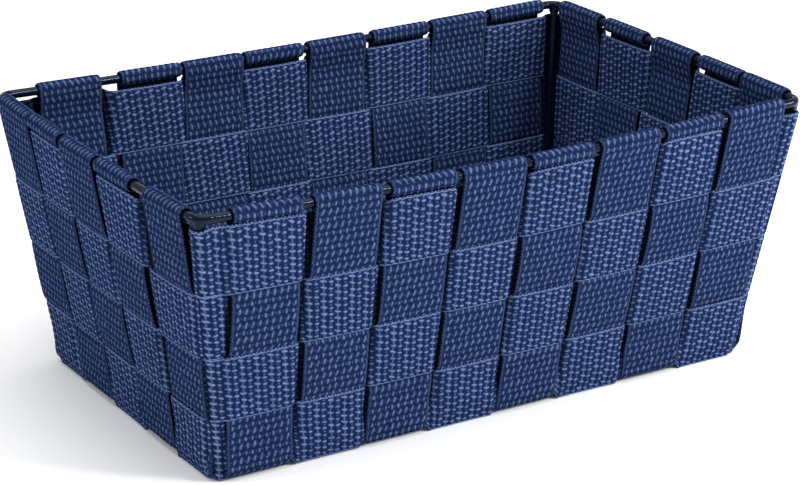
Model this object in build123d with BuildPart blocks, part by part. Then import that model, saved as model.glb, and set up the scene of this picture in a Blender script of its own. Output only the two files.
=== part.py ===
"""Storage bin: a tapered tub of woven webbing straps hung on a welded wire frame.

Millimetres, +Z up, +X along the long sides. The origin is the centre of the underside.
"""

import math
import os

from build123d import *

os.makedirs("parts", exist_ok=True)

# Webbing, wire and the working gap left between neighbours
strap_width = 38.0
strap_thickness = 1.6
wire_radius = 2.5
gap = 0.1

# Wire frame, along the centrelines of its wires
rim_length = 370.0
rim_width = 236.0
rim_height = 152.0
base_length = 329.5
base_width = 189.0
bend_radius = 7.0

# The straps pull the long sides of the rim down, and the wire bows outwards a little
long_side_bow = 2.4
long_side_sag = 2.9
short_side_bow = 2.4
short_side_sag = 0.5

# Bare wire in front of each wrapped strap, from the left end of a long side
# and from the front end of a short side
front_bare = (18.4, 6.9, 5.7, 4.0, 4.6, 5.0, 4.0, 4.2)
back_bare = (23.2, 12.5, 1.8, 2.0, 3.8, 5.8, 3.0, 3.1)
left_bare = (11.0, 16.0, 3.9, 4.4, 1.7)
right_bare = (11.5, 2.5, 6.0, 10.0, 7.0)

# Bands round the walls: four, from just under the rim wire to just above the floor
band_count = 4
band_top = rim_height - 6.2
band_bottom = 1.0
band_inner_bend = 3.5

# Each strap goes a quarter turn round the base wire, and its end this far round the rim wire
fold_turn = 90
roll_turn = 270

# Under the bin the straps lie side by side, up to these distances from the centre
long_strap_reach = 162.5
cross_strap_reach = 95.2

# Weld fillets where a post meets a wire: half widths along the wire, and places along the post
weld_reach = 5.0
weld_middle = 3.3
weld_half_thickness = 2.4
weld_start = 0.6
weld_narrowing = 2.4
weld_length = 6.0

# Heights and offsets that follow from those above
cross_fold_height = strap_thickness + gap + wire_radius
base_wire_height = cross_fold_height + strap_thickness + gap
strap_inside = wire_radius + gap
strap_outside = strap_inside + strap_thickness
band_inside = strap_outside + gap
band_outside = band_inside + strap_thickness

# Each side of the tub: distance of its rim and base wires, half its straight run, bow and sag
long_side = (rim_width / 2, base_width / 2, rim_length / 2 - bend_radius, long_side_bow, long_side_sag)
short_side = (rim_length / 2, base_length / 2, rim_width / 2 - bend_radius, short_side_bow, short_side_sag)
outward = {"front": (0, -1), "back": (0, 1), "left": (-1, 0), "right": (1, 0)}


def side_sizes(side):
    """Rim distance, base distance, half run, bow and sag of the named side."""
    return long_side if side in ("front", "back") else short_side


def place(side, along, distance):
    """Plan position of a point on a side: along it, and out from the centre."""
    out_x, out_y = outward[side]
    return (along, out_y * distance) if out_x == 0 else (out_x * distance, along)


def rim_point(side, along):
    """Centre of the rim wire on a side, on the parabola that the straps pull it to."""
    rim_distance, _, half_run, bow, sag = side_sizes(side)
    pull = 1 - (along / half_run) ** 2
    x, y = place(side, along, rim_distance + bow * pull)
    return Vector(x, y, rim_height - sag * pull)


def rim_centres(bare, length):
    """Middle of each wrapped strap along a side of the rim."""
    centres = []
    position = -length / 2
    for stretch in bare:
        centres.append(position + stretch + strap_width / 2)
        position += stretch + strap_width
    return centres


def base_centres(count, reach):
    """Middle of each strap under the bin, evenly spread."""
    pitch = (2 * reach - strap_width) / (count - 1)
    return [strap_width / 2 - reach + pitch * index for index in range(count)]


def save(builder, name):
    """Label the finished piece and write it."""
    builder.part.label = name
    export_step(builder.part, f"parts/{name}.step")


# ---- Wire frame ----

def rim_stretches():
    """Control points of the rim's four pulled sides and the four bends that follow them."""
    runs = []
    for side, turn in (("front", 1), ("right", 1), ("back", -1), ("left", -1)):
        rim_distance, _, half_run, bow, sag = side_sizes(side)
        middle = place(side, 0, rim_distance + 2 * bow)
        runs.append((rim_point(side, -turn * half_run), Vector(*middle, rim_height - 2 * sag),
                     rim_point(side, turn * half_run)))
    bends = []
    for run, following in zip(runs, runs[1:] + runs[:1]):
        leave = (run[2] - run[1]).normalized() * bend_handle
        arrive = (following[1] - following[0]).normalized() * bend_handle
        bends.append((run[2], run[2] + leave, following[0] - arrive, following[0]))
    return runs + bends


# Control-point distance that makes a cubic curve into a quarter circle
bend_handle = 0.5523 * bend_radius

with BuildPart() as rim_wire:
    for control_points in rim_stretches():
        with BuildLine() as stretch:
            Bezier(*control_points)
        with BuildSketch(Plane(origin=stretch.line @ 0, z_dir=stretch.line % 0)):
            Circle(wire_radius)
        sweep()
save(rim_wire, "rim_wire")

with BuildPart() as base_wire:
    with BuildLine(Plane.XY.offset(base_wire_height)) as base_path:
        half_x = base_length / 2
        half_y = base_width / 2
        FilletPolyline(
            (-half_x, -half_y), (half_x, -half_y), (half_x, half_y), (-half_x, half_y),
            radius=bend_radius, close=True,
        )
    with BuildSketch(Plane(origin=base_path.wire() @ 0, z_dir=base_path.wire() % 0)):
        Circle(wire_radius)
    sweep(path=base_path.wire())
save(base_wire, "base_wire")

corners = {
    "front_left": (-1, -1),
    "front_right": (1, -1),
    "back_right": (1, 1),
    "back_left": (-1, 1),
}

# Each post stands on the middle of a bend, this far in from where the sides would meet
post_inset = bend_radius * (1 - math.cos(math.radians(45)))
foot_x = base_length / 2 - post_inset
foot_y = base_width / 2 - post_inset
head_x = rim_length / 2 - post_inset
head_y = rim_width / 2 - post_inset
post_foot = {}
post_head = {}
along_bend = {}
for corner, (sign_x, sign_y) in corners.items():
    post_foot[corner] = Vector(sign_x * foot_x, sign_y * foot_y, base_wire_height)
    post_head[corner] = Vector(sign_x * head_x, sign_y * head_y, rim_height)
    along_bend[corner] = Vector(sign_x, -sign_y, 0)

posts = {}
for corner in corners:
    rise = post_head[corner] - post_foot[corner]
    with BuildPart() as corner_post:
        with BuildSketch(Plane(origin=post_foot[corner], z_dir=rise)):
            Circle(wire_radius)
        extrude(amount=rise.length)
        add(rim_wire.part, mode=Mode.SUBTRACT)
        add(base_wire.part, mode=Mode.SUBTRACT)
    posts[corner] = corner_post.part
    save(corner_post, f"{corner}_post")


def weld_sections(origin, direction, wire_direction):
    """Sections of one weld: wide along the wire, closing on to the post."""
    sections = []
    widths = (
        (0.0, weld_reach),
        (weld_narrowing, weld_middle),
        (weld_length, weld_half_thickness),
    )
    for distance, reach in widths:
        level = Plane(origin=origin + direction * distance, x_dir=wire_direction, z_dir=direction)
        with BuildSketch(level) as section:
            Ellipse(reach, weld_half_thickness)
        sections.append(section.sketch)
    return sections


with BuildPart() as rim_welds:
    for corner in corners:
        down_post = (post_foot[corner] - post_head[corner]).normalized()
        origin = post_head[corner] + down_post * weld_start
        loft(weld_sections(origin, down_post, along_bend[corner]))
        add(posts[corner], mode=Mode.SUBTRACT)
    add(rim_wire.part, mode=Mode.SUBTRACT)
save(rim_welds, "rim_welds")

with BuildPart() as base_welds:
    for corner in corners:
        up_post = (post_head[corner] - post_foot[corner]).normalized()
        origin = post_foot[corner] + up_post * weld_start
        loft(weld_sections(origin, up_post, along_bend[corner]))
        add(posts[corner], mode=Mode.SUBTRACT)
    add(base_wire.part, mode=Mode.SUBTRACT)
save(base_welds, "base_welds")


# ---- Straps that run down one wall, under the bin and up the opposite wall ----

def across(start, end, side):
    """Plane midway along a strap's edge on a wire: x along the wire, y outwards."""
    edge = end - start
    return Plane(origin=(start + end) * 0.5, x_dir=edge, z_dir=edge.cross(Vector(*outward[side], 0)))


def panel_section(start, end, side):
    """Section of a wall panel beside the wire that runs from start to end."""
    with BuildSketch(across(start, end, side)) as section:
        with Locations((0, (strap_inside + strap_outside) / 2)):
            Rectangle((end - start).length, strap_thickness)
    return section.sketch


def turn_section(start, end, side, first_angle, turn):
    """Ring sector, seen along the wire; angles run up from the outward direction."""
    beside = across(start, end, side)
    up = beside.z_dir if beside.z_dir.Z > 0 else -beside.z_dir
    end_on = Plane(origin=beside.origin, x_dir=beside.y_dir, z_dir=beside.y_dir.cross(up))
    with BuildSketch(end_on) as section:
        with BuildLine():
            inner = CenterArc((0, 0), strap_inside, first_angle, turn)
            outer = CenterArc((0, 0), strap_outside, first_angle, turn)
            Line(inner @ 0, outer @ 0)
            Line(inner @ 1, outer @ 1)
        make_face()
    return section.sketch


def under_section(side, base_centre, fold_height):
    """Plan of the flat run under the bin, between the folds of two opposite walls."""
    run = 2 * side_sizes(side)[1]
    run_x, run_y = (run, strap_width) if outward[side][1] == 0 else (strap_width, run)
    with BuildSketch(Plane.XY.offset(fold_height - strap_outside)) as section:
        with Locations(place(side, base_centre, 0)):
            Rectangle(run_x, run_y)
    return section.sketch


def make_strap(name, sides, base_centre, centres_on_rim, fold_height):
    """One strap from rim to rim: two panels, two folds, two rolls and the run between them."""
    with BuildPart() as strap:
        for side, rim_centre in zip(sides, centres_on_rim):
            base_distance = side_sizes(side)[1]
            halves = (-strap_width / 2, strap_width / 2)
            foot = [Vector(*place(side, base_centre + half, base_distance), fold_height) for half in halves]
            head = [rim_point(side, rim_centre + half) for half in halves]
            loft([panel_section(*foot, side), panel_section(*head, side)], ruled=True)
            fold = turn_section(*foot, side, -fold_turn, fold_turn)
            extrude(fold, amount=strap_width / 2, both=True)
            roll = turn_section(*head, side, 0, roll_turn)
            extrude(roll, amount=(head[1] - head[0]).length / 2, both=True)
        extrude(under_section(sides[0], base_centre, fold_height), amount=strap_thickness)
    save(strap, name)


long_places = zip(
    base_centres(len(front_bare), long_strap_reach),
    rim_centres(front_bare, rim_length),
    rim_centres(back_bare, rim_length),
)
for number, (base_centre, front_centre, back_centre) in enumerate(long_places, start=1):
    name = f"front_back_strap_{number}"
    make_strap(name, ("front", "back"), base_centre, (front_centre, back_centre), base_wire_height)

cross_places = zip(
    base_centres(len(left_bare), cross_strap_reach),
    rim_centres(left_bare, rim_width),
    rim_centres(right_bare, rim_width),
)
for number, (base_centre, left_centre, right_centre) in enumerate(cross_places, start=1):
    name = f"left_right_strap_{number}"
    make_strap(name, ("left", "right"), base_centre, (left_centre, right_centre), cross_fold_height)


# ---- Closed straps round the walls ----

def wall_distance(side, height, in_middle):
    """Distance of a wall from the centre at a height, at its ends or in its pulled middle."""
    rim_distance, base_distance, _, bow, sag = side_sizes(side)
    fold_height = base_wire_height if side == "front" else cross_fold_height
    if in_middle:
        rim_distance += bow
    wire_height = rim_height - sag if in_middle else rim_height
    share = max(0.0, (height - fold_height) / (wire_height - fold_height))
    return base_distance + share * (rim_distance - base_distance)


def band_section(height, offset, bend):
    """Horizontal section of a band's face at a height: bowed sides and rounded corners."""
    half_x = wall_distance("left", height, False) + offset
    half_y = wall_distance("front", height, False) + offset
    middle_x = wall_distance("left", height, True) + offset
    middle_y = wall_distance("front", height, True) + offset
    with BuildSketch(Plane.XY.offset(height)) as section:
        with BuildLine():
            for sign in (-1, 1):
                if middle_y > half_y:
                    ThreePointArc((-half_x, sign * half_y), (0, sign * middle_y), (half_x, sign * half_y))
                    ThreePointArc((sign * half_x, -half_y), (sign * middle_x, 0), (sign * half_x, half_y))
                else:
                    Line((-half_x, sign * half_y), (half_x, sign * half_y))
                    Line((sign * half_x, -half_y), (sign * half_x, half_y))
        make_face()
        fillet(section.vertices(), radius=bend)
    return section.sketch


band_pitch = (band_top - band_bottom) / band_count
for row in range(band_count):
    upper = band_top - row * band_pitch
    lower = upper - band_pitch + gap
    outer_bend = band_inner_bend + strap_thickness
    with BuildPart() as band:
        loft([band_section(height, band_outside, outer_bend) for height in (lower, upper)], ruled=True)
        loft(
            [band_section(height, band_inside, band_inner_bend) for height in (lower, upper)],
            ruled=True, mode=Mode.SUBTRACT,
        )
    save(band, f"ring_strap_{row + 1}")
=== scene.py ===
"""The woven storage bin's looks: webbing straps woven on the wire frame, coated wire, studio and camera."""

import math

import bpy
import numpy as np
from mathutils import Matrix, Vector


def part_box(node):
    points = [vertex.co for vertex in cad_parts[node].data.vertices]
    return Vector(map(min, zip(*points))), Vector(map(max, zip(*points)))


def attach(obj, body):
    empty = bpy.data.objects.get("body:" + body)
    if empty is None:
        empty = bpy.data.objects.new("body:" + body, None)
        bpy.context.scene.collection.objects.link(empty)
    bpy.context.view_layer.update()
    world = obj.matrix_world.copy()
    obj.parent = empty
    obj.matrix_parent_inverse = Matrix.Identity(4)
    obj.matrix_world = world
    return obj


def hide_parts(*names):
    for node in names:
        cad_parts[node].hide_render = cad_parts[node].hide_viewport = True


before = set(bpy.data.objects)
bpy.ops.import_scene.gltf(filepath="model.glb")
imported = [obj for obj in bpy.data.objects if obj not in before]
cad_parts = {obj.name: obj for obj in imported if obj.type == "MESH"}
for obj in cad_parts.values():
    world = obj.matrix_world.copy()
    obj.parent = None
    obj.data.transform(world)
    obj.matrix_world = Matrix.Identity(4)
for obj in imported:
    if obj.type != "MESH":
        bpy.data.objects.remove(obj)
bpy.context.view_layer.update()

MM = 0.001
FULL_TURN = 2 * math.pi
QUARTER_TURN = math.pi / 2

# ---- The wire frame's sizes ----

WIRE_RADIUS = 2.5 * MM
RIM_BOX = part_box("rim_wire")
BASE_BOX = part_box("base_wire")
BEND_RADIUS = 7.0 * MM
# A post stands on the middle of a bend, this far in from where the sides would meet
POST_INSET = BEND_RADIUS * (1 - math.cos(math.radians(45)))
# How far the rim's long and short sides bow outwards and sag in their middle
LONG_BOW = 2.4 * MM
LONG_SAG = 2.9 * MM
SHORT_BOW = 2.4 * MM
SHORT_SAG = 0.5 * MM

RIM_HALF_X = RIM_BOX[1][0] - WIRE_RADIUS - SHORT_BOW
RIM_HALF_Y = RIM_BOX[1][1] - WIRE_RADIUS - LONG_BOW
RIM_Z = RIM_BOX[1][2] - WIRE_RADIUS
BASE_HALF_X = BASE_BOX[1][0] - WIRE_RADIUS
BASE_HALF_Y = BASE_BOX[1][1] - WIRE_RADIUS
BASE_Z = (BASE_BOX[0][2] + BASE_BOX[1][2]) / 2

LONG_SIDE = {"rim": RIM_HALF_Y, "base": BASE_HALF_Y, "run": RIM_HALF_X - BEND_RADIUS,
             "bow": LONG_BOW, "sag": LONG_SAG}
SHORT_SIDE = {"rim": RIM_HALF_X, "base": BASE_HALF_X, "run": RIM_HALF_Y - BEND_RADIUS,
              "bow": SHORT_BOW, "sag": SHORT_SAG}
SIDES = {"front": LONG_SIDE, "back": LONG_SIDE, "left": SHORT_SIDE, "right": SHORT_SIDE}
OUTWARD = {"front": (0, -1), "right": (1, 0), "back": (0, 1), "left": (-1, 0)}

# ---- Where the straps lie ----

STRAP_WIDTH = 38.0 * MM
STRAP_THICKNESS = 1.7 * MM
RING_WIDTH = 37.6 * MM
ROWS = 4
ROW_TOP_Z = RIM_Z - 6.2 * MM
ROW_BOTTOM_Z = 0.8 * MM

# Bare rim wire in front of each roll, in mm, as on the CAD frame
FRONT_BARE = (18.4, 6.9, 5.7, 4.0, 4.6, 5.0, 4.0, 4.2)
BACK_BARE = (23.2, 12.5, 1.8, 2.0, 3.8, 5.8, 3.0, 3.1)
LEFT_BARE = (11.0, 16.0, 3.9, 4.4, 1.7)
RIGHT_BARE = (11.5, 2.5, 6.0, 10.0, 7.0)
# Half the length that the straps take up along each side of the base
LONG_REACH = 162.5 * MM
CROSS_REACH = 94.2 * MM
# The left wall's front strap bows sideways, half way up, towards the corner beside it
CORNER_LEAN = -4.0 * MM

# How far the weave's middle surface stands off the wires, and each strap off that surface
WALL_STAND = 1.9 * MM
BASE_STAND = 4.2 * MM
UNDER_STAND = 3.9 * MM
WEAVE_SWING = 1.9 * MM
UNDER_SWING = 0.9 * MM
# Share of the wall's height over which the base wire holds the weave out
BASE_FLARE = 0.13
# A strap's edges stand off less than its middle; how square each crossing is, and how crowned
EDGE_DROP = 0.25 * MM
WEAVE_SHARPNESS = 5.0
RING_SHARPNESS = 8.0
CROWN = 0.16

# An upright strap: the roll round the rim wire, the fold round the base wire, and its drift
ROLL_RADIUS = WIRE_RADIUS + 0.95 * MM
ROLL_ANGLE = math.radians(285)
# Shares of the wall's height below the rim over which the roll and the edges' drop blend in
ROLL_JOIN = 0.12
DROP_JOIN = 0.1
FOLD_SNUG = 1.2 * MM
DRIFT = 0.45 * MM
# Shortest and longest wave of the drift, in mm
DRIFT_WAVES = (60, 160)
DRIFT_EASE = 30 * MM

# A ring strap: where it dives behind an upright, and how its edges lift, tuck in and turn a corner
RING_TUCK = 1.4 * MM
TOP_TUCK = 2.4 * MM
TOP_LIFT = 1.7 * MM
HEM_TUCK = 1.5 * MM
HEM_CURL = 4.0 * MM
CORNER_RADIUS = WIRE_RADIUS + 1.0 * MM
DIVE_LEAST = 4.0 * MM
DIVE_LENGTH = 6.5 * MM
RING_WAVE = 0.2 * MM
# Waves round the ring, each with the number of the random start that it takes
RING_WAVES = ((3, 0), (5, 2), (6, 3))
# The sides in order round a ring, with the way it runs along each and the corner at its end
RING_ORDER = (("front", 1, (1, -1)), ("right", 1, (1, 1)), ("back", -1, (-1, 1)), ("left", -1, (-1, -1)))
# Number of each side's first crossing, counted round the ring
RING_FIRST = {"front": 0, "right": 8, "back": 13, "left": 21}

# Points along each stretch of a path, before it is spaced evenly
ROLL_STEPS = 80
WALL_STEPS = 600
FOLD_STEPS = 60
UNDER_STEPS = 700
RING_STEPS = 900
CORNER_STEPS = 38

# ---- The webbing's own relief ----

# Raised floats on a grid of cells, four mesh steps to a cell, with a selvedge outside them
CELL_ALONG = 4.05 * MM
CELL_ACROSS = 3.9 * MM
CELL_STEPS = 4
SELVEDGE_LEAST = 1.3 * MM
SELVEDGE_STEPS = 2
SELVEDGE_THINNING = 0.62
THINNING_REACH = 0.7 * MM
RELIEF = 0.42 * MM
RELIEF_LEVEL = 0.35
FLOAT_LENGTH = 0.36
FLOAT_WIDTH = 0.19
STEM_LENGTH = 0.18
STEM_HEIGHT = 0.5
SELVEDGE_HEIGHT = 0.55
SELVEDGE_RIPPLE = 0.25
# The middle of a float in an even column of cells, and how much further across it is in an odd one
FLOAT_PLACE = 0.375
FLOAT_SHIFT = 0.25

# Painted shade: a strap is coloured dark where it dives behind another: the weave signal where that starts,
# and the range that it takes
SHADE_START = 0.4
SHADE_RANGE = 0.9
SHADE_LENGTH = 3.5 * MM
# Shading fades out from twice this height down to it, where the straps fold under
FOLD_HEIGHT = 11.0 * MM
# The paler floats at a corner's bend fade out over a few mesh steps
CORNER_PALE_REACH = 8
CORNER_PALE_SOFTNESS = 3.0


def smooth(x):
    """Eased step from 0 to 1."""
    x = np.clip(x, 0, 1)
    return x * x * (3 - 2 * x)


def on_wall(side, along, share, stand, lift=0.0):
    """Points of a wall: share is 0 at the base wire and 1 at the rim wire, stand is off the wires."""
    sizes = SIDES[side]
    pulled = np.clip(1 - (along / sizes["run"]) ** 2, 0, 1)
    distance = sizes["base"] + share * (sizes["rim"] + sizes["bow"] * pulled - sizes["base"]) + stand
    height = BASE_Z + share * (RIM_Z - sizes["sag"] * pulled - BASE_Z) + lift
    out_x, out_y = OUTWARD[side]
    if out_x == 0:
        return np.stack(np.broadcast_arrays(along, out_y * distance, height), -1)
    return np.stack(np.broadcast_arrays(out_x * distance, along, height), -1)


def centres_on_rim(bare, half_length):
    """Middle of each roll along a side of the rim."""
    centres = []
    position = -half_length
    for stretch in bare:
        centres.append(position + stretch * MM + STRAP_WIDTH / 2)
        position += stretch * MM + STRAP_WIDTH
    return np.array(centres)


def centres_on_base(count, reach):
    """Middle of each strap under the bin."""
    return np.linspace(STRAP_WIDTH / 2 - reach, reach - STRAP_WIDTH / 2, count)


LONG_BASE = centres_on_base(len(FRONT_BARE), LONG_REACH)
CROSS_BASE = centres_on_base(len(LEFT_BARE), CROSS_REACH)
BASE_CENTRES = {"front": LONG_BASE, "back": LONG_BASE, "left": CROSS_BASE, "right": CROSS_BASE}
RIM_CENTRES = {
    "front": centres_on_rim(FRONT_BARE, RIM_HALF_X),
    "back": centres_on_rim(BACK_BARE, RIM_HALF_X),
    "left": centres_on_rim(LEFT_BARE, RIM_HALF_Y),
    "right": centres_on_rim(RIGHT_BARE, RIM_HALF_Y),
}
ROW_TOP = (ROW_TOP_Z - BASE_Z) / (RIM_Z - BASE_Z)
ROW_BOTTOM = (ROW_BOTTOM_Z - BASE_Z) / (RIM_Z - BASE_Z)
ROW_PITCH = (ROW_TOP - ROW_BOTTOM) / ROWS


def swing(phase, sharpness=WEAVE_SHARPNESS):
    """Over-and-under wave: 1 at whole phases that are even, -1 at odd ones, flat near both."""
    wave = np.cos(math.pi * phase)
    return np.tanh(sharpness * wave) * (1 - CROWN + CROWN * wave ** 2)


def stand_at(share):
    """The weave's middle surface: it has to clear the base wire, and lies closer in above it."""
    return WALL_STAND + (BASE_STAND - WALL_STAND) * smooth((BASE_FLARE - share) / BASE_FLARE)


def swing_at(share):
    """How far each strap swings off the middle surface: less where the base wire holds them apart."""
    return UNDER_SWING + (WEAVE_SWING - UNDER_SWING) * smooth(share / BASE_FLARE)


def edge_drop(across, width):
    """How much less a strap stands off near its edges than in its middle."""
    return EDGE_DROP * np.abs(2 * across / width) ** 4


# ---- Strap meshes ----

def across_grid(width):
    """Places across a strap, cell coordinate of each, and the thickness there as a share."""
    cells = int(round((width - 2 * SELVEDGE_LEAST) / CELL_ACROSS))
    half = cells * CELL_ACROSS / 2
    middle = np.linspace(-half, half, cells * CELL_STEPS + 1)
    selvedge = np.linspace(half, width / 2, SELVEDGE_STEPS + 1)[1:]
    across = np.concatenate([-selvedge[::-1], middle, selvedge])
    from_edge = width / 2 - np.abs(across)
    fullness = 1 - SELVEDGE_THINNING * np.exp(-from_edge / THINNING_REACH)
    return across, (across + half) / CELL_ACROSS, fullness


def relief(cell_along, cell_across, cells):
    """Height of the webbing's surface, from 0 in its hollows to 1 on its floats."""
    column = np.floor(cell_along)
    along = cell_along - column - 0.5
    centre = FLOAT_PLACE + FLOAT_SHIFT * (column % 2)
    offset = (cell_across - centre + 0.5) % 1 - 0.5
    floats = np.exp(-(along / FLOAT_LENGTH) ** 4) * np.exp(-(offset / FLOAT_WIDTH) ** 2)
    stems = STEM_HEIGHT * np.exp(-(along / STEM_LENGTH) ** 2) * np.ones_like(offset)
    inside = (cell_across > -0.01) & (cell_across < cells + 0.01)
    selvedge = SELVEDGE_HEIGHT + SELVEDGE_RIPPLE * np.cos(FULL_TURN * cell_along)
    return np.where(inside, np.maximum(floats, stems), selvedge)


def corner_maps(steps, cell_across):
    """Weave coordinates of faces, from the step along and the cell across of each of their corners."""
    corners = [np.broadcast_arrays(along / CELL_STEPS, across) for along, across in zip(steps, cell_across)]
    return np.stack([np.stack(corner, -1) for corner in corners], 1)


def face_grid(count_along, count_across, closed, first, flip):
    """Quads of one face of a strap, as vertex numbers, and each corner's step along and across it."""
    steps = count_along if closed else count_along - 1
    grid = np.meshgrid(np.arange(steps), np.arange(count_across - 1), indexing="ij")
    k, j = (numbers.ravel() for numbers in grid)
    corners = [(k, j), (k + 1, j), (k + 1, j + 1), (k, j + 1)]
    if flip:
        corners.reverse()
    faces = np.stack([(a % count_along) * count_across + b + first for a, b in corners], -1)
    return faces, corners


def shell_faces(count_along, count_across, closed, cell_across):
    """Quads of a strap's closed shell and the weave coordinates of their corners."""
    lower = count_along * count_across
    faces, maps = [], []
    # The inner face's weave is one column on from the outer face's
    for first, columns_on in ((0, 0), (lower, 1)):
        quads, corners = face_grid(count_along, count_across, closed, first, columns_on == 1)
        faces.append(quads)
        maps.append(corner_maps([a + columns_on * CELL_STEPS for a, _ in corners],
                                [cell_across[b] for _, b in corners]))
    steps = np.arange(count_along if closed else count_along - 1)
    for edge, order in ((0, 1), (count_across - 1, -1)):
        here = steps * count_across + edge
        there = (steps + 1) % count_along * count_across + edge
        faces.append(np.stack([here, here + lower, there + lower, there][::order], -1))
        maps.append(corner_maps([steps, steps, steps + 1, steps + 1][::order], [cell_across[edge]] * 4))
    if not closed:
        row = np.arange(count_across - 1)
        for end, order in ((0, -1), (count_along - 1, 1)):
            here = end * count_across + row
            faces.append(np.stack([here, here + lower, here + 1 + lower, here + 1][::order], -1))
            columns = (row, row, row + 1, row + 1)[::order]
            maps.append(corner_maps([end] * 4, [cell_across[column] for column in columns]))
    return np.concatenate(faces), np.concatenate(maps)


def build_strap(name, middle, width, closed, material, weave, corner_pale):
    """A closed shell of webbing about its middle surface, standing for the CAD strap of that name.

    weave is 1 where the strap is outside its neighbours and -1 where it is inside, and sets the painted
    shade where it dives behind them; the last argument is 1 where its floats are coloured paler, at a
    corner's bend."""
    across, cell_across, fullness = across_grid(width)
    count_along, count_across = middle.shape[:2]
    if closed:
        along_way = np.roll(middle, -1, 0) - np.roll(middle, 1, 0)
    else:
        along_way = np.gradient(middle, axis=0)
    normal = np.cross(along_way, np.gradient(middle, axis=1))
    normal /= np.linalg.norm(normal, axis=2, keepdims=True)
    cells = (count_across - 1 - 2 * SELVEDGE_STEPS) // CELL_STEPS
    cell_along = np.arange(count_along)[:, None] / CELL_STEPS
    shells = []
    for side, columns_on in ((1, 0), (-1, 1)):
        bumps = RELIEF * (relief(cell_along + columns_on, cell_across[None, :], cells) - RELIEF_LEVEL)
        depth = (STRAP_THICKNESS / 2 + bumps) * fullness
        shells.append((middle + side * normal * depth[..., None]).reshape(-1, 3))
    points = np.concatenate(shells)
    faces, maps = shell_faces(count_along, count_across, closed, cell_across)

    mesh = bpy.data.meshes.new(name)
    mesh.vertices.add(len(points))
    mesh.vertices.foreach_set("co", points.astype(np.float32).ravel())
    mesh.loops.add(faces.size)
    mesh.loops.foreach_set("vertex_index", faces.astype(np.int32).ravel())
    mesh.polygons.add(len(faces))
    mesh.polygons.foreach_set("loop_start", np.arange(0, faces.size, 4, dtype=np.int32))
    mesh.update(calc_edges=True)
    mesh.polygons.foreach_set("use_smooth", np.ones(len(faces), bool))
    mesh.uv_layers.new(name="weave").data.foreach_set("uv", maps.astype(np.float32).ravel())
    # Painted shade where the strap dives behind its neighbours, on whichever face is hidden, faded out low
    # down where the straps fold under
    signal = np.concatenate([weave.ravel(), -weave.ravel()])
    shaded = smooth((SHADE_START - signal) / SHADE_RANGE)
    shaded *= smooth((points[:, 2] - FOLD_HEIGHT) / FOLD_HEIGHT)
    for attribute, values in (("shaded", shaded), ("corner_pale", np.tile(corner_pale.ravel(), 2))):
        layer = mesh.attributes.new(attribute, "FLOAT", "POINT")
        layer.data.foreach_set("value", values.astype(np.float32))
    mesh.validate()
    piece = bpy.data.objects.new("webbing_" + name, mesh)
    bpy.context.scene.collection.objects.link(piece)
    piece.data.materials.append(material)
    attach(piece, "root")
    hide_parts(name)
    return piece


def path_lengths(surface):
    """Length along a strap's middle line, at each row of its middle surface."""
    line = surface[:, surface.shape[1] // 2]
    return np.concatenate([[0], np.cumsum(np.linalg.norm(np.diff(line, axis=0), axis=1))])


def spaced(stations, lengths, rows):
    """Rows of values at known lengths along a strap, taken again at its stations."""
    columns = [np.interp(stations, lengths, column) for column in rows.reshape(len(rows), -1).T]
    return np.stack(columns, -1).reshape(len(stations), *rows.shape[1:])


def wander(random):
    """A strap's small drift to one side and the other along its length."""
    waves = [(random.uniform(*DRIFT_WAVES) * MM, random.uniform(0, FULL_TURN)) for _ in range(3)]
    return lambda place: DRIFT * sum(np.sin(FULL_TURN * place / wave + start) for wave, start in waves) / 2


# ---- Upright straps ----

def upright_along(side, index, share, across):
    """Where an upright strap's points are along a side, at a share of the wall's height."""
    base, rim = BASE_CENTRES[side][index], RIM_CENTRES[side][index]
    lean = CORNER_LEAN if side == "left" and index == 0 else 0.0
    centre = base + share * (rim - base) + 4 * lean * share * (1 - share)
    return centre + across * (-1 if side in ("left", "right") else 1)


def upright_half(side, index, sense, across, drop):
    """One wall's share of an upright strap, from the end of its roll to the foot of its fold.

    sense is 1 where the strap starts outside the top ring and -1 where it starts inside. Gives the
    middle surface and the weave signal."""
    def on_side(share, stand, lift=0.0):
        return on_wall(side, upright_along(side, index, share, across), share, stand, lift)

    start = 0.0 if sense > 0 else math.pi
    turn = start + sense * np.linspace(ROLL_ANGLE, 0, ROLL_STEPS)[:, None]
    roll = on_side(np.ones_like(turn), ROLL_RADIUS * np.cos(turn), ROLL_RADIUS * np.sin(turn))

    share = np.linspace(1, 0, WALL_STEPS)[:, None]
    phase = np.maximum((ROW_TOP - share) / ROW_PITCH - 0.5, 0)
    signal = sense * swing(phase)
    from_roll = smooth((share - 1 + ROLL_JOIN) / ROLL_JOIN)
    woven = stand_at(share) + signal * swing_at(share)
    stand = woven * (1 - from_roll) + sense * ROLL_RADIUS * from_roll
    wall = on_side(share, stand - signal * drop * smooth((1 - share) / DROP_JOIN))

    turn = np.linspace(0, QUARTER_TURN, FOLD_STEPS)[:, None]
    turned = turn / QUARTER_TURN
    fold_signal = sense * swing(phase[-1] + (ROWS - 0.5 - phase[-1]) * turned)
    snug = FOLD_SNUG * np.sin(2 * turn) ** 2 * np.maximum(fold_signal, 0)
    radius = BASE_STAND + (UNDER_STAND - BASE_STAND) * turned + fold_signal * (UNDER_SWING - drop) - snug
    fold = on_side(np.zeros_like(turn), radius * np.cos(turn), -radius * np.sin(turn))

    surface = np.concatenate([roll, wall[1:], fold[1:]])
    signals = np.concatenate([np.full(ROLL_STEPS, float(sense)), signal[1:, 0], fold_signal[1:, 0]])
    return surface, signals


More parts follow.
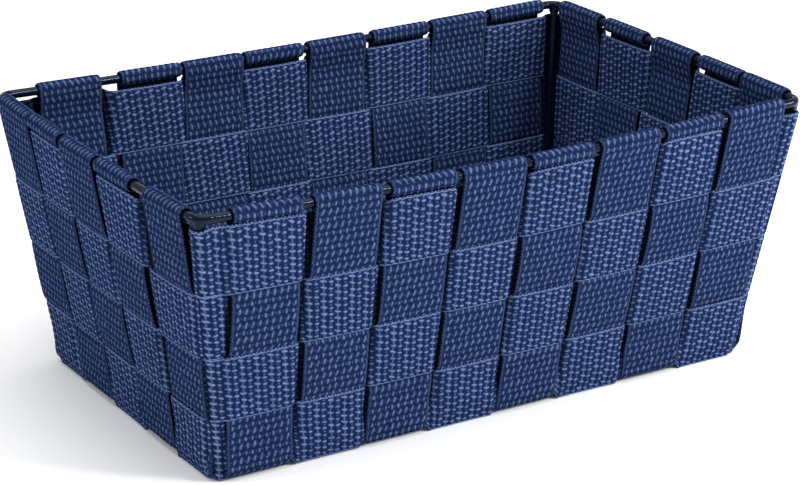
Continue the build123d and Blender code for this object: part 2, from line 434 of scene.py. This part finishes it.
def upright_under(side, index, sense, crossed, across, drop):
    """An upright strap's stretch beneath the bin: its middle surface and weave signal."""
    half_run = SIDES[side]["base"]
    run = np.linspace(-half_run, half_run, UNDER_STEPS)
    crossings = np.arange(len(crossed) + 2) + ROWS - 1.0
    crossings[0] += 0.5
    crossings[-1] -= 0.5
    phase = np.interp(run, np.concatenate([[-half_run], crossed, [half_run]]), crossings)
    signal = sense * swing(phase)
    height = BASE_Z - UNDER_STAND - signal[:, None] * (UNDER_SWING - drop)
    beside = np.broadcast_to(upright_along(side, index, 0.0, across), height.shape)
    run = np.broadcast_to(run[:, None], height.shape)
    across_first = (beside, run) if side == "front" else (run, beside)
    return np.stack([*across_first, height], -1), signal


def make_upright(name, index, sides, senses, crossed):
    """One strap: down the first wall, under the bin and up the second wall."""
    drift = wander(np.random.default_rng(100 * len(crossed) + index + 1))
    across, _, _ = across_grid(STRAP_WIDTH)
    drop = edge_drop(across, STRAP_WIDTH)
    down, up = (upright_half(side, index, sense, across, drop) for side, sense in zip(sides, senses))
    under = upright_under(sides[0], index, senses[0], crossed, across, drop)
    surface, signal = (np.concatenate([first, middle[1:], last[::-1][1:]])
                       for first, middle, last in zip(down, under, up))
    lengths = path_lengths(surface)
    cells = int(round(lengths[-1] / CELL_ALONG))
    stations = np.linspace(0, lengths[-1], cells * CELL_STEPS + 1)
    middle = spaced(stations, lengths, surface)
    ends = smooth(stations / DRIFT_EASE) * smooth((lengths[-1] - stations) / DRIFT_EASE)
    middle[:, :, 0 if sides[0] == "front" else 1] += (drift(stations) * ends)[:, None]
    weave = np.repeat(np.interp(stations, lengths, signal)[:, None], len(across), 1)
    piece = build_strap(name, middle, STRAP_WIDTH, False, UPRIGHT_WEBBING_SHADED, weave, np.zeros_like(weave))


# ---- Ring straps ----

def post_place(share):
    """Plan position of a corner post at a share of the height, as positive x and y."""
    x = BASE_HALF_X - POST_INSET + share * (RIM_HALF_X - BASE_HALF_X)
    y = BASE_HALF_Y - POST_INSET + share * (RIM_HALF_Y - BASE_HALF_Y)
    return x, y


def ring_side(side, travel, share, across, row):
    """One line of a ring strap along one wall, from corner to corner: its points and weave signal."""
    post_x, post_y = post_place(share)
    half_length, corner_distance = (post_x, post_y) if side in ("front", "back") else (post_y, post_x)
    along = travel * half_length * (2 * np.linspace(0, 1, RING_STEPS) - 1)
    base, rim = BASE_CENTRES[side], RIM_CENTRES[side]
    centres = base + share * (rim - base)
    last = len(centres) - 1
    first = RING_FIRST[side] + (0 if travel > 0 else last)
    sign = -1 if (first + row) % 2 == 0 else 1
    outside_first = np.where(np.arange(last) % 2 == 0, sign, -sign)
    between = (centres[1:] + centres[:-1]) / 2 - outside_first * RING_TUCK
    knots = np.sort(np.concatenate([[-half_length], centres, between, [half_length]]))
    phase = np.interp(along, knots, np.arange(-1, 2 * last + 2) / 2)
    off_wall = sign * swing(phase, RING_SHARPNESS)
    outside, inside = np.maximum(off_wall, 0), np.maximum(-off_wall, 0)

    # The bottom ring's lower edge and the top ring's upper edge lift, and both tuck in
    hem = smooth(-2 * across / RING_WIDTH) ** 2 if row == ROWS else 0.0
    crest = smooth(2 * across / RING_WIDTH) ** 2 if row == 1 else 0.0
    lift = hem * inside * HEM_CURL + crest * outside * TOP_LIFT
    tuck = TOP_TUCK * smooth((share - ROW_TOP + ROW_PITCH) / ROW_PITCH) * inside + hem * HEM_TUCK * outside
    lean = swing_at(share) - edge_drop(across, RING_WIDTH)
    points = on_wall(side, along, share, stand_at(share) + off_wall * lean - tuck, lift)

    # Past the last upright it comes in to lie round the post
    first_edge = half_length + centres[0] - STRAP_WIDTH / 2
    last_edge = half_length - centres[-1] - STRAP_WIDTH / 2
    edge = np.where(along < 0, max(first_edge, DIVE_LEAST), max(last_edge, DIVE_LEAST))
    from_edge = half_length - np.abs(along) - edge
    on_weave = smooth(1 + from_edge / np.minimum(edge, DIVE_LENGTH))
    # Between the last upright and the post, the painted shade reaches only a short way past the upright's
    # edge
    shaded_share = smooth(1 + from_edge / SHADE_LENGTH)
    axis = 1 if side in ("front", "back") else 0
    wrapped = sum(OUTWARD[side]) * (corner_distance + CORNER_RADIUS)
    points[:, axis] = wrapped + (points[:, axis] - wrapped) * on_weave
    return points, 1 + (off_wall - 1) * shaded_share


def ring_line(share, across, row):
    """One line of a ring strap, all the way round: its points and weave signal."""
    points, signals = [], []
    for side, travel, corner in RING_ORDER:
        woven, signal = ring_side(side, travel, share, across, row)
        out_x, out_y = OUTWARD[side]
        turn = math.atan2(out_y, out_x) + np.linspace(0, QUARTER_TURN, CORNER_STEPS + 2)[1:-1]
        post_x, post_y = np.array(post_place(share)) * corner
        height = BASE_Z + share * (RIM_Z - BASE_Z)
        bend_x = post_x + CORNER_RADIUS * np.cos(turn)
        bend_y = post_y + CORNER_RADIUS * np.sin(turn)
        points += [woven, np.stack([bend_x, bend_y, np.full(CORNER_STEPS, height)], -1)]
        signals += [signal, np.ones(CORNER_STEPS)]
    return np.concatenate(points), np.concatenate(signals)


def make_ring(row):
    """One closed strap round the walls, outside the posts."""
    random = np.random.default_rng(row)
    starts = [random.uniform(0, FULL_TURN) for _ in range(4)]
    centre_share = ROW_TOP - (row - 0.5) * ROW_PITCH
    slant = math.hypot(RIM_Z - BASE_Z, RIM_HALF_Y - BASE_HALF_Y)
    lines = [ring_line(centre_share + across / slant, across, row) for across in across_grid(RING_WIDTH)[0]]
    surface, signals = (np.stack(each, 1) for each in zip(*lines))
    at_corner = np.tile(np.concatenate([np.zeros(RING_STEPS), np.ones(CORNER_STEPS)]), len(RING_ORDER))
    surface, signals, at_corner = (np.concatenate([rows, rows[:1]]) for rows in (surface, signals, at_corner))
    lengths = path_lengths(surface)
    cells = 2 * int(round(lengths[-1] / CELL_ALONG / 2))
    stations = np.linspace(0, lengths[-1], cells * CELL_STEPS + 1)[:-1]
    middle = spaced(stations, lengths, surface)
    way_round = FULL_TURN * stations / lengths[-1]
    middle[:, :, 2] += RING_WAVE * sum(np.sin(way_round * turns + starts[start])
                                       for turns, start in RING_WAVES)[:, None]
    # Floats coloured paler round each corner's bend, blurred along the strap
    blur = np.exp(-(np.arange(-CORNER_PALE_REACH, CORNER_PALE_REACH + 1) / CORNER_PALE_SOFTNESS) ** 2)
    pale_at_corner = np.pad(np.interp(stations, lengths, at_corner), CORNER_PALE_REACH, mode="wrap")
    pale_at_corner = np.convolve(pale_at_corner, blur / blur.sum(), "valid")
    piece = build_strap(f"ring_strap_{row}", middle, RING_WIDTH, True, RING_WEBBING_LIT,
                        spaced(stations, lengths, signals), np.repeat(pale_at_corner[:, None], middle.shape[1], 1))


# ---- Materials ----

# Webbing: painted shade between the yarns, low yarns, raised floats with painted sheen (a lit copy for the
# rings, a shaded copy for the uprights), floats coloured paler at a corner's bend, and painted shade in deep
# recesses
HOLLOW_SHADE = (0.0022, 0.0065, 0.030)
YARN = (0.011, 0.024, 0.080)
RING_FLOAT_LIT = (0.140, 0.200, 0.405)
UPRIGHT_FLOAT_SHADED = (0.098, 0.136, 0.262)
CORNER_PALE_FLOAT = (0.215, 0.295, 0.550)
RECESS_SHADE = (0.002, 0.003, 0.008)
COAT_DARK = (0.0015, 0.003, 0.010)
COAT_LIGHT = (0.003, 0.006, 0.017)
COAT_TINT = (0.60, 0.70, 1.0, 1.0)
PAPER_GREY = (0.96, 0.96, 0.96)
PAPER_WHITE = (0.98, 0.98, 0.98)

# Noise scales, per metre
WOBBLE_ALONG_SCALE = 260.0
WOBBLE_ACROSS_SCALE = 330.0
UNEVEN_SCALE = 420.0
YARN_SCALE = 900.0
FIBRE_SCALE = 2600.0
MOTTLE_SCALE = 180.0
PEEL_SCALE = 700.0
PAPER_SCALE = 3.0

# The printed weave, in cells
WOBBLE_ALONG = 0.42
WOBBLE_ACROSS = 0.40
SHORT_FLOAT = 0.30
LONG_FLOAT_EXTRA = 0.12
PRINTED_FLOAT_WIDTH = 0.165
FLOAT_SLANT = 0.28
PRINTED_STEM_WIDTH = 0.13
EVEN_STEM = 0.3
DOT_LENGTH = 0.15
DOT_WIDTH = 0.09
DOT_STRENGTH = 0.62
# Cells between the selvedges, on both widths of strap
CELLS_ACROSS = 9.0
CORD_PLACE = 0.13
CORD_TWIST = 0.06
CORD_WIDTH = 0.09
BEAD_PLACE = 0.30
BEAD_LENGTH = 0.28
# Keeps a sum above 0 before its fraction is taken, and puts a float's middle at a fraction of a half
ABOVE_ZERO = 32.5

UNEVEN_LEAST = 0.22
UNEVEN_GAIN = 1.6
FLOAT_CONTRAST = 1.25
CORNER_PALE_STRENGTH = 0.7
SHADE_STRENGTH = 0.9
FIBRE_BUMP = 0.25


class Maths:
    """Short ways to write sums in a node tree."""

    def __init__(self, material):
        material.use_nodes = True
        self.nodes = material.node_tree.nodes
        self.links = material.node_tree.links
        self.nodes.clear()

    def put(self, socket, value):
        """Join a socket to another, or give it a value of its own."""
        if isinstance(value, bpy.types.NodeSocket):
            self.links.new(value, socket)
        else:
            socket.default_value = value

    def do(self, operation, first, second=None, clamp=False):
        """One maths node."""
        node = self.nodes.new("ShaderNodeMath")
        node.operation = operation
        node.use_clamp = clamp
        self.put(node.inputs[0], first)
        if second is not None:
            self.put(node.inputs[1], second)
        return node.outputs[0]

    def plus(self, first, second):
        """Sum."""
        return self.do("ADD", first, second)

    def minus(self, first, second):
        """Difference."""
        return self.do("SUBTRACT", first, second)

    def times(self, first, second):
        """Product."""
        return self.do("MULTIPLY", first, second)

    def most(self, first, second):
        """The larger of two."""
        return self.do("MAXIMUM", first, second)

    def centred_fraction(self, value):
        """Fraction of a value, less a half."""
        return self.minus(self.do("FRACT", value), 0.5)

    def bell(self, value, width, power=2.0):
        """exp(-(value / width) ** power)."""
        scaled = self.do("POWER", self.do("ABSOLUTE", self.do("DIVIDE", value, width)), power)
        return self.do("EXPONENT", self.times(scaled, -1.0))

    def mix(self, factor, first, second):
        """Blend of two colours."""
        node = self.nodes.new("ShaderNodeMix")
        node.data_type = "RGBA"
        self.put(node.inputs["Factor"], factor)
        for socket, value in ((node.inputs[6], first), (node.inputs[7], second)):
            self.put(socket, (*value, 1) if isinstance(value, tuple) else value)
        return node.outputs[2]

    def place(self):
        """Where a point of the surface is."""
        return self.nodes.new("ShaderNodeNewGeometry").outputs["Position"]

    def noise(self, vector, scale, detail):
        """Noise as a number from 0 to 1."""
        node = self.nodes.new("ShaderNodeTexNoise")
        node.inputs["Scale"].default_value = scale
        node.inputs["Detail"].default_value = detail
        self.put(node.inputs["Vector"], vector)
        return node.outputs["Fac"]

    def attribute(self, name):
        """A number that the mesh carries at each point."""
        node = self.nodes.new("ShaderNodeAttribute")
        node.attribute_name = name
        return node.outputs["Fac"]

    def bump(self, height, strength, distance):
        """Normal of a bumped surface."""
        node = self.nodes.new("ShaderNodeBump")
        node.inputs["Strength"].default_value = strength
        node.inputs["Distance"].default_value = distance
        self.put(node.inputs["Height"], height)
        return node.outputs[0]

    def finish(self, values):
        """The Principled shader with its values, joined to the output."""
        shader = self.nodes.new("ShaderNodeBsdfPrincipled")
        for name, value in values.items():
            self.put(shader.inputs[name], value)
        self.put(self.nodes.new("ShaderNodeOutputMaterial").inputs[0], shader.outputs[0])


def make_webbing(name, float_sheen_colour, stem_sheen, cord_sheen):
    """Navy webbing: floats and stems with painted sheen over hollows with painted shade, mapped along and
    across the strap.
    """
    material = bpy.data.materials.new(name)
    m = Maths(material)
    place = m.place()
    weave = m.nodes.new("ShaderNodeUVMap")
    weave.uv_map = "weave"
    split = m.nodes.new("ShaderNodeSeparateXYZ")
    m.put(split.inputs[0], weave.outputs[0])
    cell_along, cell_across = split.outputs[0], split.outputs[1]
    shift_along = m.times(m.minus(m.noise(place, WOBBLE_ALONG_SCALE, detail=1.0), 0.5), WOBBLE_ALONG)
    shift_across = m.times(m.minus(m.noise(place, WOBBLE_ACROSS_SCALE, detail=1.0), 0.5), WOBBLE_ACROSS)
    along = m.plus(cell_along, shift_along)
    across = m.plus(cell_across, shift_across)

    # Floats, longer and slanted in odd columns, with stems through their middles and dots between
    column = m.do("FLOOR", along)
    from_middle = m.minus(m.minus(along, column), 0.5)
    odd = m.do("MODULO", m.do("ABSOLUTE", column), 2.0)
    centre = m.plus(m.times(odd, FLOAT_SHIFT), FLOAT_PLACE)
    raised = m.plus(m.minus(across, centre), ABOVE_ZERO)
    slant = m.times(m.times(from_middle, odd), FLOAT_SLANT)
    length = m.plus(m.times(odd, LONG_FLOAT_EXTRA), SHORT_FLOAT)
    floats = m.times(m.bell(from_middle, length, 4.0),
                     m.bell(m.plus(m.centred_fraction(raised), slant), PRINTED_FLOAT_WIDTH))
    stem_share = m.plus(m.times(odd, 1 - EVEN_STEM), EVEN_STEM)
    stems = m.times(m.times(m.bell(from_middle, PRINTED_STEM_WIDTH), stem_sheen), stem_share)
    halfway = m.centred_fraction(m.plus(raised, 0.5))
    dots = m.times(m.bell(from_middle, DOT_LENGTH), m.bell(halfway, DOT_WIDTH))
    dots = m.times(dots, m.times(m.minus(1.0, odd), DOT_STRENGTH))
    woven = m.most(m.most(floats, stems), dots)

    # The selvedge: a twisted cord, with beads outside it
    beyond = m.most(m.times(cell_across, -1.0), m.minus(cell_across, CELLS_ACROSS))
    at_edge = m.do("GREATER_THAN", beyond, 0.0)
    twist = m.times(m.do("SINE", m.times(along, FULL_TURN)), CORD_TWIST)
    cord = m.bell(m.minus(m.minus(beyond, CORD_PLACE), twist), CORD_WIDTH)
    beads = m.times(m.bell(m.centred_fraction(m.times(along, 2.0)), BEAD_LENGTH),
                    m.bell(m.minus(beyond, BEAD_PLACE), CORD_WIDTH))
    selvedge = m.times(m.most(cord, beads), cord_sheen)
    pattern = m.plus(m.times(woven, m.minus(1.0, at_edge)), m.times(selvedge, at_edge))

    uneven = m.plus(m.times(m.noise(place, UNEVEN_SCALE, detail=2.0), UNEVEN_GAIN), UNEVEN_LEAST)
    height = m.do("MULTIPLY", pattern, uneven, clamp=True)
    # Painted shade in the hollows between the yarns, mixed at random with the yarn colour
    ground = m.mix(m.noise(place, YARN_SCALE, detail=2.0), HOLLOW_SHADE, YARN)
    raised_colour = m.mix(m.times(m.attribute("corner_pale"), CORNER_PALE_STRENGTH), float_sheen_colour, CORNER_PALE_FLOAT)
    # Painted sheen: floats, stems, dots and cord take the pale float colour over the ground
    colour = m.mix(m.do("POWER", height, FLOAT_CONTRAST), ground, raised_colour)
    # Painted shade: near black where a strap dives behind another
    colour = m.mix(m.times(m.attribute("shaded"), SHADE_STRENGTH), colour, RECESS_SHADE)
    fibres = m.times(m.noise(place, FIBRE_SCALE, detail=2.0), FIBRE_BUMP)
    m.finish({"Base Color": colour, "Roughness": 0.55, "Specular IOR Level": 0.0,
              "Normal": m.bump(m.plus(pattern, fibres), strength=0.6, distance=0.5 * MM)})
    return material


def make_coating():
    """Glossy powder coat, dark navy, with a faint orange-peel surface."""
    material = bpy.data.materials.new("dark_powder_coat")
    m = Maths(material)
    place = m.place()
    mottle = m.noise(place, MOTTLE_SCALE, detail=3.0)
    m.finish({"Base Color": m.mix(mottle, COAT_DARK, COAT_LIGHT),
              "Roughness": m.plus(m.times(mottle, 0.04), 0.10),
              "Specular IOR Level": 0.20, "Specular Tint": COAT_TINT,
              "Normal": m.bump(m.noise(place, PEEL_SCALE, detail=2.0), strength=0.12, distance=0.2 * MM)})
    return material


def make_paper():
    """Seamless pale studio floor."""
    material = bpy.data.materials.new("pale_floor")
    m = Maths(material)
    m.finish({"Base Color": m.mix(m.noise(m.place(), PAPER_SCALE, detail=1.0), PAPER_GREY, PAPER_WHITE),
              "Roughness": 0.9})
    return material


# Lit and shaded copies of one webbing: the uprights' floats, stems and cord are painted darker than the
# rings', as light falls differently on upright and lying yarns
UPRIGHT_WEBBING_SHADED = make_webbing("navy_webbing_upright_shaded", UPRIGHT_FLOAT_SHADED, stem_sheen=0.22, cord_sheen=0.45)
RING_WEBBING_LIT = make_webbing("navy_webbing_ring_lit", RING_FLOAT_LIT, stem_sheen=0.46, cord_sheen=1.0)
COATING = make_coating()

# ---- The straps and the wires ----

for index in range(len(FRONT_BARE)):
    sense = 1 if index % 2 == 1 else -1
    make_upright(f"front_back_strap_{index + 1}", index, ("front", "back"), (sense, sense), CROSS_BASE)
for index in range(len(LEFT_BARE)):
    sense = 1 if index % 2 == 0 else -1
    make_upright(f"left_right_strap_{index + 1}", index, ("left", "right"), (sense, -sense), LONG_BASE)
for row in range(1, ROWS + 1):
    make_ring(row)

for node in ("rim_wire", "base_wire", "rim_welds", "base_welds",
             "front_left_post", "front_right_post", "back_right_post", "back_left_post"):
    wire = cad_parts[node]
    wire.data.materials.clear()
    wire.data.materials.append(COATING)

# ---- Studio ----

FLOOR_REACH = 12.0
WORLD_STRENGTH = 0.60
# Name, place, aim, size in metres and power in watts of each lamp
LAMPS = (
    ("top", (0.1, 0.0, 2.3), (0, 0, 0.05), 2.2, 38),
    ("right", (1.30, -1.15, 0.85), (0, 0, 0.07), 0.5, 24),
    ("left", (-1.55, 0.35, 0.75), (0, 0, 0.07), 0.6, 7),
    ("spark", (0.80, -1.35, 1.35), (0, 0, 0.10), 0.25, 14),
)
CAMERA_TARGET = (-0.0005, -0.0027, 0.0691)
CAMERA_AZIMUTH = math.radians(-31.35)
CAMERA_ELEVATION = math.radians(20.36)
CAMERA_DISTANCE = 1.5068
CAMERA_LENS = 121.6
CAMERA_SENSOR = 36


def add_object(name, data):
    """A new object in the scene."""
    thing = bpy.data.objects.new(name, data)
    bpy.context.scene.collection.objects.link(thing)
    return thing


def make_floor():
    """A wide pale floor under the bin."""
    mesh = bpy.data.meshes.new("floor")
    corners = [(x * FLOOR_REACH, y * FLOOR_REACH, 0) for x, y in ((-1, -1), (1, -1), (1, 1), (-1, 1))]
    mesh.from_pydata(corners, [], [(0, 1, 2, 3)])
    mesh.materials.append(make_paper())
    add_object("floor", mesh)


def make_light(name, place, aim, size, power):
    """A square soft light at a place, turned to its aim."""
    lamp = bpy.data.lights.new(name, "AREA")
    lamp.size = size
    lamp.energy = power
    light = add_object(name, lamp)
    light.location = place
    light.rotation_euler = (Vector(place) - Vector(aim)).to_track_quat("Z", "Y").to_euler()


def make_world():
    """Even white surroundings."""
    world = bpy.data.worlds.new("studio")
    world.use_nodes = True
    background = world.node_tree.nodes["Background"]
    background.inputs["Color"].default_value = (1, 1, 1, 1)
    background.inputs["Strength"].default_value = WORLD_STRENGTH
    bpy.context.scene.world = world


def make_camera():
    """The photographed view: in front and to the left, a little above."""
    level = math.cos(CAMERA_ELEVATION)
    back = Vector((math.sin(CAMERA_AZIMUTH) * level, -math.cos(CAMERA_AZIMUTH) * level,
                   math.sin(CAMERA_ELEVATION)))
    lens = bpy.data.cameras.new("camera")
    lens.lens = CAMERA_LENS
    lens.sensor_width = CAMERA_SENSOR
    camera = add_object("camera", lens)
    camera.location = Vector(CAMERA_TARGET) + back * CAMERA_DISTANCE
    camera.rotation_euler = back.to_track_quat("Z", "Y").to_euler()
    bpy.context.scene.camera = camera


make_floor()
make_world()
for lamp_settings in LAMPS:
    make_light(*lamp_settings)
make_camera()
bpy.context.scene.view_settings.view_transform = "Standard"
